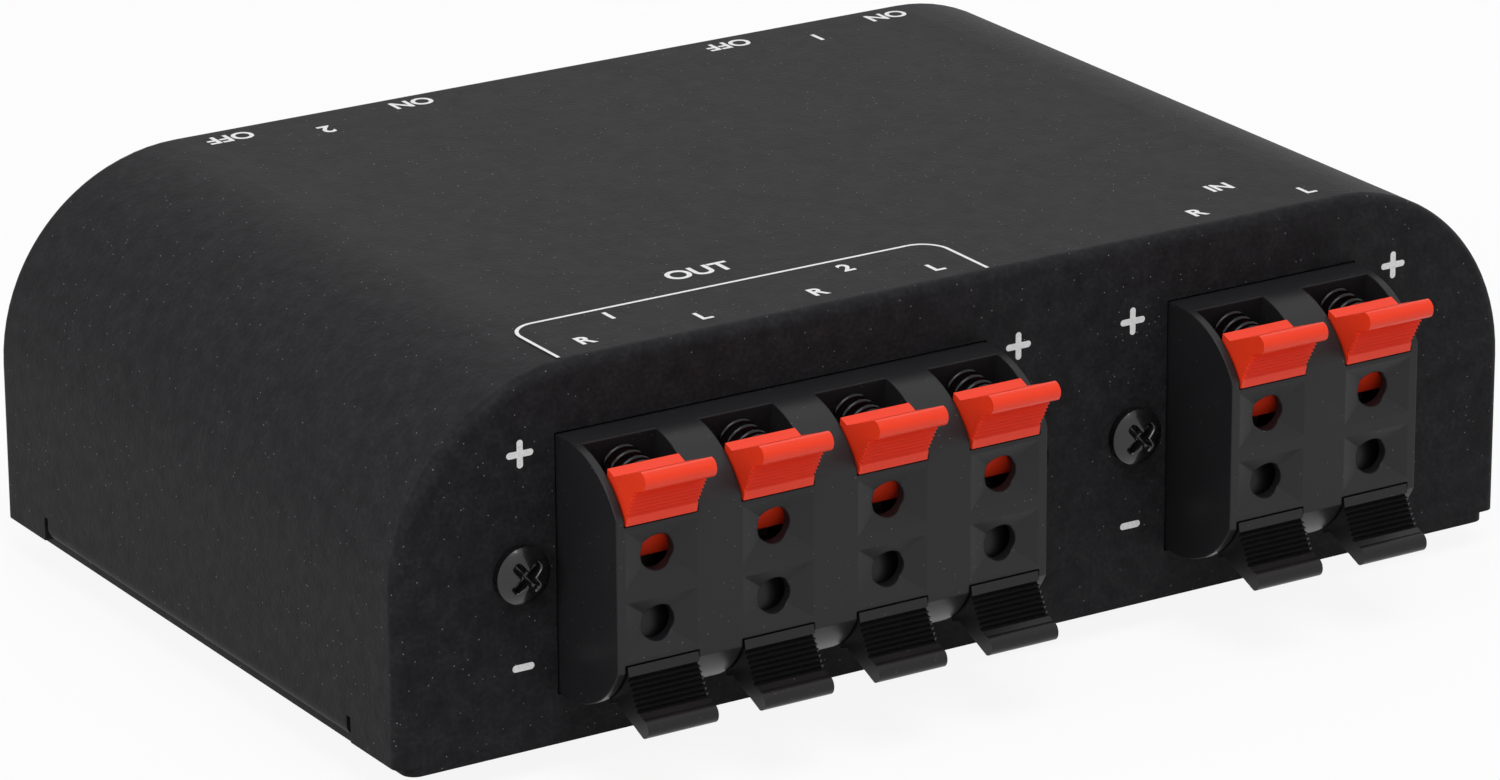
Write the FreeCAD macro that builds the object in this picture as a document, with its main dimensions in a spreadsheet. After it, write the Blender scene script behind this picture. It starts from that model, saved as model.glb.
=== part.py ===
import FreeCAD, Part
import math
import os
import re

import Sketcher
from FreeCAD import Placement, Rotation, Vector

# Speaker selector switch: a folded steel case with two blocks of spring terminals on its rear
# panel and two rocker switches on its front panel. Millimetres. +Z is up, the terminals face +Y,
# the switches face -Y, and the origin is on the ground under the middle of the whole object,
# from the levers' lips to the rockers' tips.
#
# Distances named "out" are measured outwards from the panel that carries the piece. Distances
# named "rise" on a terminal block are measured from its middle height, towards its top.

SIZES = [
    # Case
    ("case_width", 135.6, "outside width of the folded cover"),
    ("case_depth", 85.7, "outside depth, panel to panel"),
    ("case_height", 40, "underside of the base plate to the top"),
    ("corner_radius", 21.5, "outside radius of the two long top corners"),
    ("edge_radius", 1.2, "outside bend radius round both panels"),
    ("sheet_gauge", 1.2, "cover steel"),
    ("base_gauge", 1, "base plate steel"),
    ("base_inset", 1.3, "base plate's side edge in from the cover's side"),
    ("base_corner", 1.5, "base plate's corner radius"),
    ("flange_reach", 11, "turned-in bottom flange, from the cover's side"),
    ("flange_bend", 1.7, "outside bend radius of the bottom flange"),
    ("relief_margin", 9.3, "panel face to the flange's relief notch"),
    ("relief_width", 0.8, "relief notch along the side"),
    ("relief_rise", 2.2, "relief notch above the cover's bottom edge"),
    # Feet and base screws
    ("foot_height", 3, "rubber foot, ground to base plate"),
    ("foot_diameter", 12.7, "rubber foot at the base plate"),
    ("foot_taper", 0.5, "how much smaller the foot's radius is at the ground"),
    ("foot_round", 0.8, "rounded lower edge of a foot"),
    ("foot_inset_x", 10.5, "foot centre in from the cover's side"),
    ("foot_inset_y", 19.2, "foot centre in from the panel"),
    ("base_screw_inset", 6.5, "base screw in from the cover's side"),
    ("base_screw_spacing", 20, "between the two base screws on a side"),
    ("base_screw_length", 6, "base screw below its head"),
    ("base_head_diameter", 5, "base screw head"),
    ("base_head_height", 1.6, "base screw head"),
    # Screws and nuts of the terminal blocks
    ("screw_diameter", 3, "thread of every screw"),
    ("screw_clearance", 0.2, "gap round a screw in a plain hole"),
    ("thread_gap", 0.05, "gap round a screw in its nut or tapped hole"),
    ("head_diameter", 6, "pan head of a terminal screw"),
    ("head_height", 2, "pan head of a terminal screw"),
    ("head_side", 0.9, "straight side of a pan head"),
    ("screw_length", 8, "terminal screw below its head"),
    ("nut_flats", 5.5, "nut across flats"),
    ("nut_height", 2.4, "nut"),
    # Terminal blocks
    ("block_rise", 19, "middle of the blocks above the base plate's underside"),
    ("block_gap", 6.5, "between the two blocks' ears"),
    ("gap_offset", 12.825, "middle of that gap from the case's middle, towards -X"),
    ("column_pitch", 13.45, "between two columns of terminals"),
    ("end_margin", 5.1, "outer column's centre to the block's side"),
    ("block_height", 27.2, "block at the panel"),
    ("nose_height", 16, "upright front face of the block"),
    ("block_reach", 11.3, "front face out from the panel"),
    ("block_back", 7, "block's depth behind the panel's face"),
    ("crown_start", 2, "where the crowned top starts, out from the panel"),
    ("crown_radius", 10.6, "crowned top and bottom"),
    ("cutout_gap", 0.2, "panel cut-out round a block or a switch"),
    ("ear_reach", 8.2, "mounting ear beyond the block's side"),
    ("ear_height", 22, "mounting ear"),
    ("ear_gauge", 2, "mounting ear"),
    ("screw_offset", 4.4, "terminal screw from the block's side"),
    ("front_wall", 1.9, "block's front wall"),
    ("wall_top", 7.2, "rise of the front wall's edge under a lever"),
    ("web_gauge", 1.2, "web between the upper and lower bays"),
    ("bay_width", 8.5, "bay that holds a lever"),
    ("bay_ceiling", 7.4, "rise of a bay's ceiling behind the spring's seat"),
    ("hole_diameter", 3.8, "wire hole"),
    ("hole_rise", 3.7, "rise of a wire hole's axis"),
    ("funnel_width", 8.2, "lead-in round a wire hole"),
    ("funnel_height", 6, "lead-in round a wire hole"),
    ("funnel_depth", 1.1, "lead-in round a wire hole"),
    ("funnel_floor", 0.3, "lead-in's inner rectangle as a share of its mouth"),
    ("board_gauge", 1.5, "fibre board behind a block"),
    # Levers
    ("lever_width", 8.1, "lever"),
    ("pivot_out", 3, "lever's pivot out from the panel"),
    ("pivot_rise", 6, "lever's pivot"),
    ("pivot_diameter", 1.7, "trunnion"),
    ("pivot_gap", 0.05, "gap round a trunnion"),
    ("pivot_bite", 0.35, "trunnion's length in the bay's wall"),
    ("pivot_end_gap", 0.1, "gap past a trunnion's end"),
    ("arm_gauge", 1.8, "arm from the pivot to the finger piece"),
    ("leg_tip_out", 8, "front of the clamping leg's tip"),
    ("leg_tip_rise", 2.5, "clamping leg's tip"),
    ("leg_gauge", 1.5, "clamping leg"),
    ("leg_top_out", 9.1, "front of the leg under the nose"),
    ("nose_gap", 0.15, "lever's nose above the front wall"),
    ("nose_out", 11.4, "lever's nose"),
    ("grip_out", 11.6, "lower end of the ribbed grip"),
    ("grip_rise", 8.3, "lower end of the ribbed grip"),
    ("grip_length", 3.75, "ribbed grip"),
    ("grip_slope", 60, "ribbed grip, degrees above level"),
    ("rib_depth", 0.45, "grooves between the ribs"),
    ("roll_out", 14.15, "middle of the rolled lip"),
    ("roll_rise", 12.85, "middle of the rolled lip"),
    ("roll_radius", 1, "rolled lip"),
    ("brow_out", 12.6, "where the lip's top starts to fall"),
    ("brow_rise", 13.2, "where the lip's top starts to fall"),
    ("valley_out", 9.2, "valley behind the lip"),
    ("valley_rise", 11.85, "valley behind the lip"),
    ("lever_back_out", 8, "upper rear edge of the finger piece"),
    ("lever_back_rise", 12.3, "upper rear edge of the finger piece"),
    ("lever_foot_rise", 7.2, "lower rear edge of the finger piece"),
    # Springs
    ("spring_wire", 0.5, "spring wire"),
    ("spring_radius", 2.35, "middle of the wire to the spring's axis"),
    ("spring_length", 4.7, "from its seat to the lever"),
    ("spring_tilt", 8, "spring's axis, degrees, falling towards the lever"),
    ("spring_rise", 9.7, "spring's axis where it meets the lever"),
    ("spring_end_gap", 0.1, "gap at each end of a spring"),
    # Contacts
    ("contact_width", 5, "contact strip"),
    ("contact_gauge", 0.5, "contact strip"),
    ("contact_out", 5.5, "front of the upturned contact edge"),
    ("contact_rise", 2.4, "top of the upturned contact edge"),
    ("tag_length", 4.5, "solder tag behind the fibre board"),
    ("slot_gap", 0.1, "gap round a strip in its slot"),
    # Rocker switches
    ("switch_spacing", 62.4, "between the two switches"),
    ("switch_rise", 20, "switches above the base plate's underside"),
    ("bezel_width", 21, "bezel"),
    ("bezel_height", 15, "bezel"),
    ("bezel_out", 1.8, "bezel out from the panel"),
    ("bezel_round", 0.7, "bezel's rounded rim"),
    ("barrel_width", 19, "switch body behind the panel"),
    ("barrel_height", 12.8, "switch body behind the panel"),
    ("barrel_depth", 12, "switch body behind the panel's face"),
    ("barrel_floor", 1.4, "floor of the switch body"),
    ("snap_reach", 0.9, "snap wing beyond the body"),
    ("snap_length", 4.5, "snap wing along the body"),
    ("snap_width", 5, "snap wing"),
    ("rocker_radius", 8.2, "rocker's curved ends from its pivot"),
    ("rocker_height", 10, "rocker along its pivot"),
    ("rocker_gap", 0.3, "gap round the rocker in the bezel"),
    ("rocker_depth", 0.8, "rocker's pivot behind the panel's face"),
    ("rocker_valley", 3.1, "middle of the rocker's face from its pivot"),
    ("rocker_tip", 29, "rocker's upper corner, degrees from level"),
    ("rocker_skirt", 20, "rocker's lower corner, degrees from level"),
    ("rocker_sole", 4, "rocker's underside from its pivot"),
    ("rocker_sole_width", 7, "rocker's underside"),
    ("rocker_tilt", 10, "rocker's tilt each way, degrees"),
    ("rocker_pin", 2.4, "rocker's pivot pins"),
    ("rocker_pin_bite", 0.8, "rocker's pin in the body's wall"),
    ("plunger_diameter", 1.8, "plunger under the rocker"),
    ("plunger_reach", 7.6, "plunger's tip from the rocker's pivot"),
    ("pole_spacing", 5, "between the two poles of a switch"),
    ("bar_depth", 9.1, "contact bar's pivot behind the panel's face"),
    ("bar_length", 12.4, "contact bar"),
    ("bar_width", 3.4, "contact bar"),
    ("bar_gauge", 0.6, "contact bar"),
    ("bar_tilt", 7, "contact bar's tilt each way, degrees"),
    ("bar_roll", 1.2, "round boss across the middle of a contact bar"),
    ("fulcrum_gap", 0.1, "gap between a contact bar and a tag under it"),
    ("blade_width", 4, "switch tag"),
    ("blade_gauge", 0.8, "switch tag"),
    ("blade_length", 7, "switch tag behind the switch body"),
    ("blade_offset", 5.5, "outer tag from the middle tag"),
    # Wiring
    ("wire_diameter", 1.4, "insulated wire"),
    ("wire_bend", 4, "inside the bends of a wire"),
    ("wire_stub", 4, "straight wire at each end"),
    ("wire_layer", 2.6, "height from one layer of crossing wires to the next"),
    ("bus_diameter", 1.2, "bare wire along the negative tags"),
    ("bus_overhang", 1.5, "bare wire past the last tag"),
]

NAMES = re.compile(r"\b(" + "|".join(name for name, size, meaning in SIZES) + r")\b")

OUTPUT_COLUMNS = 4
INPUT_COLUMNS = 2
RIBS = 7
SPRING_TURNS = 4
SPRING_SIDES = 6

OUTPUT_HALF = f"({(OUTPUT_COLUMNS - 1) / 2} * column_pitch + end_margin + ear_reach)"
INPUT_HALF = f"({(INPUT_COLUMNS - 1) / 2} * column_pitch + end_margin + ear_reach)"
OUTPUT_CENTRE = f"({OUTPUT_HALF} + block_gap / 2 - gap_offset)"
INPUT_CENTRE = f"(0 - {INPUT_HALF} - block_gap / 2 - gap_offset)"
PANEL = "case_depth / 2"
LIP_REACH = "(roll_out + roll_radius)"
ROCKER_REACH = "(rocker_radius * sin(rocker_tip + rocker_tilt) - rocker_depth)"
CASE_MIDDLE = f"(({ROCKER_REACH} - {LIP_REACH}) / 2)"
REAR = f"({CASE_MIDDLE} + {PANEL})"
FRONT = f"({CASE_MIDDLE} - {PANEL})"
BLOCK_MIDDLE = "foot_height + block_rise"
SWITCH_MIDDLE = "foot_height + switch_rise"
SPRING_OUT = "(lever_back_out - (lever_back_rise - spring_rise) * tan(spring_tilt))"
SEAT_OUT = f"({SPRING_OUT} - spring_length * cos(spring_tilt))"
SEAT_RISE = "(spring_rise + spring_length * sin(spring_tilt))"
ROCKER_CAVITY = "(rocker_radius + rocker_gap)"

doc = FreeCAD.newDocument("speaker_selector")


# The sheet of sizes, and the two ways of reading a formula


def make_sheet():
    """The spreadsheet of driving dimensions: name, value and meaning of each."""
    sheet = doc.addObject("Spreadsheet::Sheet", "sizes")
    for row, (name, size, meaning) in enumerate(SIZES, start=1):
        sheet.set(f"A{row}", name)
        sheet.set(f"B{row}", str(size))
        sheet.set(f"C{row}", meaning)
        sheet.setAlias(f"B{row}", name)
    doc.recompute()
    return sheet


sheet = make_sheet()


def value(text):
    """What a formula of sizes comes to now, in millimetres or degrees."""
    return float(sheet.evalExpression(str(text)))


def bind(thing, prop, text):
    """Tie a property to a formula of sizes, so that it follows the sheet."""
    thing.setExpression(prop, NAMES.sub(r"sizes.\1", str(text)))


# Sketches


def new_body(label, x="0", y="0", z="0"):
    body = doc.addObject("PartDesign::Body", label)
    body.Label = label
    bind(body, "Placement.Base.x", x)
    bind(body, "Placement.Base.y", y)
    bind(body, "Placement.Base.z", z)
    return body


def turn(body, axis, angle):
    """Turn a body about an axis through its own origin, by a formula in degrees."""
    body.Placement.Rotation = Rotation(axis, value(angle))
    bind(body, "Placement.Rotation.Axis.x", axis.x)
    bind(body, "Placement.Rotation.Axis.y", axis.y)
    bind(body, "Placement.Rotation.Axis.z", axis.z)
    bind(body, "Placement.Rotation.Angle", angle)


def origin_feature(body, role):
    return next(part for part in body.Origin.OriginFeatures if part.Role == role)


def new_sketch(body, name, plane, along=None, shift=None):
    """A sketch on one of the body's origin planes, moved along its normal and across it.

    Across and up are X and Y on XY_Plane, X and Z on XZ_Plane (whose normal is -Y), and
    Y and Z on YZ_Plane.
    """
    sketch = body.newObject("Sketcher::SketchObject", name)
    sketch.AttachmentSupport = (origin_feature(body, plane), "")
    sketch.MapMode = "FlatFace"
    if along:
        bind(sketch, "AttachmentOffset.Base.z", along)
    if shift:
        bind(sketch, "AttachmentOffset.Base.x", shift)
    return sketch


def pin(sketch, curve, vertex, across, up):
    """Hold a point of a sketch at two formulas from the sketch's origin."""
    for kind, axis, text in (("DistanceX", -2, across), ("DistanceY", -1, up)):
        if str(text) == "0":
            sketch.addConstraint(Sketcher.Constraint("PointOnObject", curve, vertex, axis))
            continue
        rule = Sketcher.Constraint(kind, -1, 1, curve, vertex, value(text))
        bind(sketch, f"Constraints[{sketch.addConstraint(rule)}]", text)


def set_radius(sketch, curve, text):
    rule = Sketcher.Constraint("Radius", curve, value(text))
    bind(sketch, f"Constraints[{sketch.addConstraint(rule)}]", text)


def arc_between(start, end, radius, side):
    """The short arc from start to end that turns left (+1) or right (-1)."""
    chord = end - start
    rise = math.sqrt(max(radius**2 - chord.Length**2 / 4, 0))
    normal = Vector(-chord.y, chord.x, 0).normalize() * side
    centre = (start + end) / 2 + normal * rise
    angles = [math.atan2(p.y - centre.y, p.x - centre.x) for p in (start, end)]
    circle = Part.Circle(centre, Vector(0, 0, 1), radius)
    return Part.ArcOfCircle(circle, *(angles if side > 0 else reversed(angles)))


def outline(sketch, corners):
    """A closed outline. A corner is (across, up), and the side that arrives there is straight.

    Where it is an arc, the corner is (across, up, radius, side), with side +1 for an arc that
    turns left on the way to the corner and -1 for one that turns right.
    """
    points = [Vector(value(corner[0]), value(corner[1]), 0) for corner in corners]
    sides = []
    for index, corner in enumerate(corners):
        start, end = points[index - 1], points[index]
        if len(corner) == 2:
            curve = sketch.addGeometry(Part.LineSegment(start, end), False)
            sides.append((curve, 1, 2))
            continue
        arc = arc_between(start, end, value(corner[2]), corner[3])
        curve = sketch.addGeometry(arc, False)
        sides.append((curve, 1, 2) if corner[3] > 0 else (curve, 2, 1))
    for index, (curve, first, last) in enumerate(sides):
        following, entry, leaving = sides[(index + 1) % len(sides)]
        sketch.addConstraint(Sketcher.Constraint("Coincident", curve, last, following, entry))
        pin(sketch, curve, last, corners[index][0], corners[index][1])
        if len(corners[index]) > 2:
            set_radius(sketch, curve, corners[index][2])


def rectangle(sketch, left, right, bottom, top):
    outline(sketch, [(left, bottom), (right, bottom), (right, top), (left, top)])


def centred_rectangle(sketch, width, height, across="0", up="0"):
    rectangle(
        sketch,
        f"{across} - ({width}) / 2",
        f"{across} + ({width}) / 2",
        f"{up} - ({height}) / 2",
        f"{up} + ({height}) / 2",
    )


def circle(sketch, across, up, radius):
    shape = Part.Circle(Vector(value(across), value(up), 0), Vector(0, 0, 1), value(radius))
    curve = sketch.addGeometry(shape, False)
    pin(sketch, curve, 3, across, up)
    set_radius(sketch, curve, radius)


# Features


def extrude(kind, body, sketch, length, symmetric=False, reverse=False):
    solid = body.newObject(f"PartDesign::{kind}", sketch.Name + "_" + kind.lower())
    solid.Profile = sketch
    solid.SideType = "Symmetric" if symmetric else "One side"
    solid.Reversed = reverse
    bind(solid, "Length", length)
    body.Tip = solid
    return solid


def pad(body, sketch, length, **how):
    return extrude("Pad", body, sketch, length, **how)


def pocket(body, sketch, length, **how):
    return extrude("Pocket", body, sketch, length, **how)


def revolve(body, sketch):
    """Turn a profile round its sketch's own upright axis."""
    solid = body.newObject("PartDesign::Revolution", sketch.Name + "_revolution")
    solid.Profile = sketch
    solid.ReferenceAxis = (sketch, ["V_Axis"])
    solid.Angle = 360
    body.Tip = solid
    return solid


def mirror(body, plane, features=None):
    """Mirror features, or the whole body so far, across one of the body's origin planes."""
    solid = body.newObject("PartDesign::Mirrored", f"{body.Name}_{plane[:2].lower()}_mirror")
    if features:
        solid.Originals = features
    else:
        solid.TransformMode = "Whole shape"
    solid.MirrorPlane = (origin_feature(body, plane), [""])
    body.Tip = solid
    return solid


def repeat_columns(body, features, columns):
    """Copy features from the first column of terminals to the others, along X."""
    solid = body.newObject("PartDesign::LinearPattern", body.Name + "_columns")
    solid.Originals = features
    solid.Direction = (origin_feature(body, "X_Axis"), [""])
    solid.Mode = "Spacing"
    solid.Occurrences = columns
    bind(solid, "Offset", "column_pitch")
    body.Tip = solid
    return solid


def fillet(body, radius, chosen, name="round"):
    """Round the edges of the body so far that the test picks."""
    doc.recompute()
    base = body.Tip
    edges = [f"Edge{i}" for i, edge in enumerate(base.Shape.Edges, start=1) if chosen(edge)]
    solid = body.newObject("PartDesign::Fillet", f"{body.Name}_{name}")
    solid.Base = (base, edges)
    bind(solid, "Radius", radius)
    body.Tip = solid
    return solid


def lies_at(edge, **where):
    """Do both ends of an edge lie at the given x, y or z, or at minus it?"""
    ends = [vertex.Point for vertex in edge.Vertexes]
    return all(
        abs(abs(getattr(end, axis)) - abs(place)) < 1e-4
        for end in ends
        for axis, place in where.items()
    )


# Case


def block_half(columns):
    return f"({(columns - 1) / 2} * column_pitch + end_margin)"


def arch(inset, bottom):
    """Cross-section of the case, all of it moved in by one inset: upright sides, round shoulders."""
    side = f"(case_width / 2 - {inset})"
    shoulder = "(case_height - corner_radius)"
    round_radius = f"corner_radius - {inset}"
    top = f"(case_height - {inset})"
    return [
        (side, bottom),
        (side, shoulder),
        ("case_width / 2 - corner_radius", top, round_radius, 1),
        ("corner_radius - case_width / 2", top),
        (f"-{side}", shoulder, round_radius, 1),
        (f"-{side}", bottom),
    ]


def panel_cutouts(body):
    """Openings of the two terminal blocks and their screws, and of the two switches."""
    rear = new_sketch(body, "rear_cutouts", "XZ_Plane")
    front = new_sketch(body, "front_cutouts", "XZ_Plane")
    for columns, centre in ((OUTPUT_COLUMNS, OUTPUT_CENTRE), (INPUT_COLUMNS, INPUT_CENTRE)):
        half = block_half(columns)
        width = f"2 * {half} + 2 * cutout_gap"
        centred_rectangle(rear, width, "block_height + 2 * cutout_gap", centre, "block_rise")
        for side in "+-":
            across = f"{centre} {side} ({half} + screw_offset)"
            circle(rear, across, "block_rise", "screw_diameter / 2 + screw_clearance")
    for side in "+-":
        width, height = "barrel_width + 2 * cutout_gap", "barrel_height + 2 * cutout_gap"
        centred_rectangle(front, width, height, f"{side}switch_spacing / 2", "switch_rise")
    pocket(body, rear, "case_depth")
    pocket(body, front, "case_depth", reverse=True)


def case_cover():
    """One folded sheet: top, sides with turned-in flanges, and both panels."""
    body = new_body("case_cover", y=CASE_MIDDLE, z="foot_height")
    shell = new_sketch(body, "cover_section", "XZ_Plane")
    outline(shell, arch("0", "base_gauge"))
    pad(body, shell, "case_depth", symmetric=True)
    fillet(
        body,
        "edge_radius",
        lambda edge: lies_at(edge, y=value(PANEL)) and edge.BoundBox.ZMax > value("base_gauge + 1"),
    )
    hollow = new_sketch(body, "cover_hollow", "XZ_Plane")
    lip = "(case_width / 2 - flange_reach)"
    lip_top = "base_gauge + sheet_gauge"
    inside = arch("sheet_gauge", lip_top)
    outline(hollow, inside + [(f"-{lip}", lip_top), (f"-{lip}", "0"), (lip, "0"), (lip, lip_top)])
    pocket(body, hollow, "case_depth - 2 * sheet_gauge", symmetric=True)
    notch = new_sketch(body, "flange_relief", "YZ_Plane")
    for side in "+-":
        across = f"{side}(case_depth / 2 - relief_margin - relief_width / 2)"
        height = "relief_rise + base_gauge"
        centred_rectangle(notch, "relief_width", height, across, "base_gauge + relief_rise / 2")
    pocket(body, notch, "case_width", symmetric=True)
    panel_cutouts(body)
    tapped = new_sketch(body, "flange_holes", "XY_Plane")
    for side in "+-":
        for end in "+-":
            across = f"{side}(case_width / 2 - base_screw_inset)"
            circle(tapped, across, f"{end}base_screw_spacing / 2", "screw_diameter / 2 + thread_gap")
    pocket(body, tapped, "2 * (base_gauge + 2 * sheet_gauge)", symmetric=True)
    inner_end = value("case_depth / 2 - relief_margin - relief_width")
    fillet(
        body,
        "flange_bend",
        lambda edge: lies_at(edge, x=value("case_width / 2"), z=value("base_gauge"), y=inner_end),
        "flange_round",
    )
    return body


def base_plate():
    """Flat plate under the flanges, with clearance holes for its four screws."""
    body = new_body("base_plate", y=CASE_MIDDLE, z="foot_height")
    plate = new_sketch(body, "plate", "XY_Plane")
    centred_rectangle(plate, "case_width - 2 * base_inset", "case_depth")
    for side in "+-":
        for end in "+-":
            across = f"{side}(case_width / 2 - base_screw_inset)"
            gap = "screw_diameter / 2 + screw_clearance"
            circle(plate, across, f"{end}base_screw_spacing / 2", gap)
    pad(body, plate, "base_gauge")
    side = value("case_width / 2 - base_inset")
    fillet(
        body,
        "base_corner",
        lambda edge: lies_at(edge, x=side, y=value(PANEL)) and edge.BoundBox.ZLength > 0.1,
    )
    return body


def rubber_feet():
    """Four bumpers stuck under the base plate."""
    body = new_body("rubber_feet", y=CASE_MIDDLE)
    profile = new_sketch(
        body,
        "foot_profile",
        "XZ_Plane",
        along="case_depth / 2 - foot_inset_y",
        shift="case_width / 2 - foot_inset_x",
    )
    rim = "foot_diameter / 2"
    outline(
        profile,
        [
            ("0", "0"),
            (f"{rim} - foot_taper - foot_round", "0"),
            (f"{rim} - foot_taper", "foot_round", "foot_round", 1),
            (rim, "foot_height"),
            ("0", "foot_height"),
        ],
    )
    revolve(body, profile)
    mirror(body, "YZ_Plane")
    mirror(body, "XZ_Plane")
    return body


def base_screws():
    """Four pan-head screws up through the base plate into the flanges."""
    body = new_body("base_screws", y=CASE_MIDDLE, z="foot_height")
    profile = new_sketch(
        body,
        "base_screw_profile",
        "XZ_Plane",
        along="base_screw_spacing / 2",
        shift="case_width / 2 - base_screw_inset",
    )
    rim = "base_head_diameter / 2"
    outline(
        profile,
        [
            ("0", "-base_head_height"),
            (f"{rim} / 2", "-base_head_height"),
            (rim, "-base_head_height / 3", rim, 1),
            (rim, "0"),
            ("screw_diameter / 2", "0"),
            ("screw_diameter / 2", "base_screw_length"),
            ("0", "base_screw_length"),
        ],
    )
    revolve(body, profile)
    mirror(body, "YZ_Plane")
    mirror(body, "XZ_Plane")
    return body


# Terminal blocks: each is built about the middle of its own mouth in the rear panel


def block_body(label, centre):
    return new_body(label, x=centre, y=REAR, z=BLOCK_MIDDLE)


def first_column(columns):
    return f"{-(columns - 1) / 2} * column_pitch"


def bay_outline(sketch, row):
    """One bay from the side: floor, front wall, mouth, slanted spring seat and ceiling."""
    floor = "web_gauge / 2"
    inner = "(block_reach - front_wall)"
    past_front = "(block_reach + front_wall)"
    past_back = "-(block_back + board_gauge)"
    past_top = "(block_height / 2 + web_gauge)"
    seat_at = f"{SEAT_OUT} + ({{}} - {SEAT_RISE}) * tan(spring_tilt)"
    corners = [
        (past_back, floor),
        (inner, floor),
        (inner, "wall_top"),
        (past_front, "wall_top"),
        (past_front, past_top),
        (seat_at.format(past_top), past_top),
        (seat_at.format("bay_ceiling"), "bay_ceiling"),
        (past_back, "bay_ceiling"),
    ]
    outline(sketch, [(across, f"{row}({up})") for across, up in corners])


def terminal_housing(label, columns, centre):
    """Moulded block: crowned body, mounting ears, and a bay, pivot and wire hole per terminal."""
    body = block_body(label, centre)
    half = block_half(columns)
    crown = new_sketch(body, label + "_section", "YZ_Plane")
    edge, nose = "block_height / 2", "nose_height / 2"
    outline(
        crown,
        [
            ("-block_back", f"-{edge}"),
            ("crown_start", f"-{edge}"),
            ("block_reach", f"-{nose}", "crown_radius", 1),
            ("block_reach", nose),
            ("crown_start", edge, "crown_radius", 1),
            ("-block_back", edge),
        ],
    )
    pad(body, crown, f"2 * {half}", symmetric=True)
    ears = new_sketch(body, label + "_ears", "XZ_Plane", along="sheet_gauge")
    centred_rectangle(ears, f"2 * ({half} + ear_reach)", "ear_height")
    for side in "+-":
        radius = "screw_diameter / 2 + screw_clearance"
        circle(ears, f"{side}({half} + screw_offset)", "0", radius)
    pad(body, ears, "ear_gauge")

    start = first_column(columns)
    bays = new_sketch(body, label + "_bays", "YZ_Plane", along=start)
    sockets = new_sketch(body, label + "_sockets", "YZ_Plane", along=start)
    holes = new_sketch(body, label + "_holes", "XZ_Plane", along="-block_reach")
    for row in "+-":
        bay_outline(bays, row)
        circle(sockets, "pivot_out", f"{row}pivot_rise", "pivot_diameter / 2 + pivot_gap")
        circle(holes, start, f"{row}hole_rise", "hole_diameter / 2")
    socket_depth = "bay_width + 2 * (pivot_bite + pivot_end_gap)"
    cuts = [
        pocket(body, bays, "bay_width", symmetric=True),
        pocket(body, sockets, socket_depth, symmetric=True),
        pocket(body, holes, "2 * (front_wall + funnel_depth)", symmetric=True),
    ]
    cuts += [funnel(body, label, start, row) for row in "+-"]
    repeat_columns(body, cuts, columns)
    return body


def funnel(body, label, across, row):
    """Four-sided lead-in that narrows to a wire hole."""
    name = label + ("_upper" if row == "+" else "_lower")
    sections = []
    for end, along, share in (("mouth", "0", "1"), ("throat", "funnel_depth", "funnel_floor")):
        sketch = new_sketch(body, f"{name}_{end}", "XZ_Plane", along=f"{along} - block_reach")
        width, height = f"funnel_width * {share}", f"funnel_height * {share}"
        centred_rectangle(sketch, width, height, across, f"{row}hole_rise")
        sections.append(sketch)
    loft = body.newObject("PartDesign::SubtractiveLoft", name + "_funnel")
    loft.Profile = sections[0]
    loft.Sections = [sections[1]]
    loft.Ruled = True
    body.Tip = loft
    return loft


def back_board(label, columns, centre):
    """Fibre board that closes the bays from behind, slotted for the solder tags."""
    body = block_body(label, centre)
    board = new_sketch(body, label + "_outline", "XZ_Plane", along="block_back")
    centred_rectangle(board, f"2 * {block_half(columns)}", "block_height")
    pad(body, board, "board_gauge")
    slots = new_sketch(body, label + "_slots", "XZ_Plane", along="block_back")
    for row in "+-":
        height = "contact_gauge + 2 * slot_gap"
        up = f"{row}(web_gauge + contact_gauge) / 2"
        centred_rectangle(slots, "contact_width + 2 * slot_gap", height, first_column(columns), up)
    cut = pocket(body, slots, "2 * board_gauge", symmetric=True)
    repeat_columns(body, [cut], columns)
    return body


def contact_strips(label, columns, centre):
    """Tinned strips on both sides of the web: clamping edge in the bay, solder tag behind."""
    body = block_body(label, centre)
    strip = new_sketch(body, label + "_profile", "YZ_Plane", along=first_column(columns))
    tip = "-(block_back + board_gauge + tag_length)"
    low = "web_gauge / 2"
    high = f"({low} + contact_gauge)"
    inner = "(contact_out - contact_gauge)"
    for row in "+-":
        corners = [
            (tip, low),
            ("contact_out", low),
            ("contact_out", "contact_rise"),
            (inner, "contact_rise"),
            (inner, high),
            (tip, high),
        ]
        outline(strip, [(across, f"{row}({up})") for across, up in corners])
    strips = pad(body, strip, "contact_width", symmetric=True)
    repeat_columns(body, [strips], columns)
    return body


def terminal_screws(label, columns, centre):
    """Two pan-head screws through the panel and the block's ears."""
    body = block_body(label, centre)
    profile = new_sketch(
        body, label + "_profile", "XY_Plane", shift=f"{block_half(columns)} + screw_offset"
    )
    rim = "head_diameter / 2"
    rise = "(head_height - head_side)"
    outline(
        profile,
        [
            ("0", "-screw_length"),
            ("screw_diameter / 2", "-screw_length"),
            ("screw_diameter / 2", "0"),
            (rim, "0"),
            (rim, "head_side"),
            ("0", "head_height", f"(head_diameter ^ 2 / 4 + {rise} ^ 2) / (2 * {rise})", 1),
        ],
    )
    revolve(body, profile)
    mirror(body, "YZ_Plane")
    return body


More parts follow.
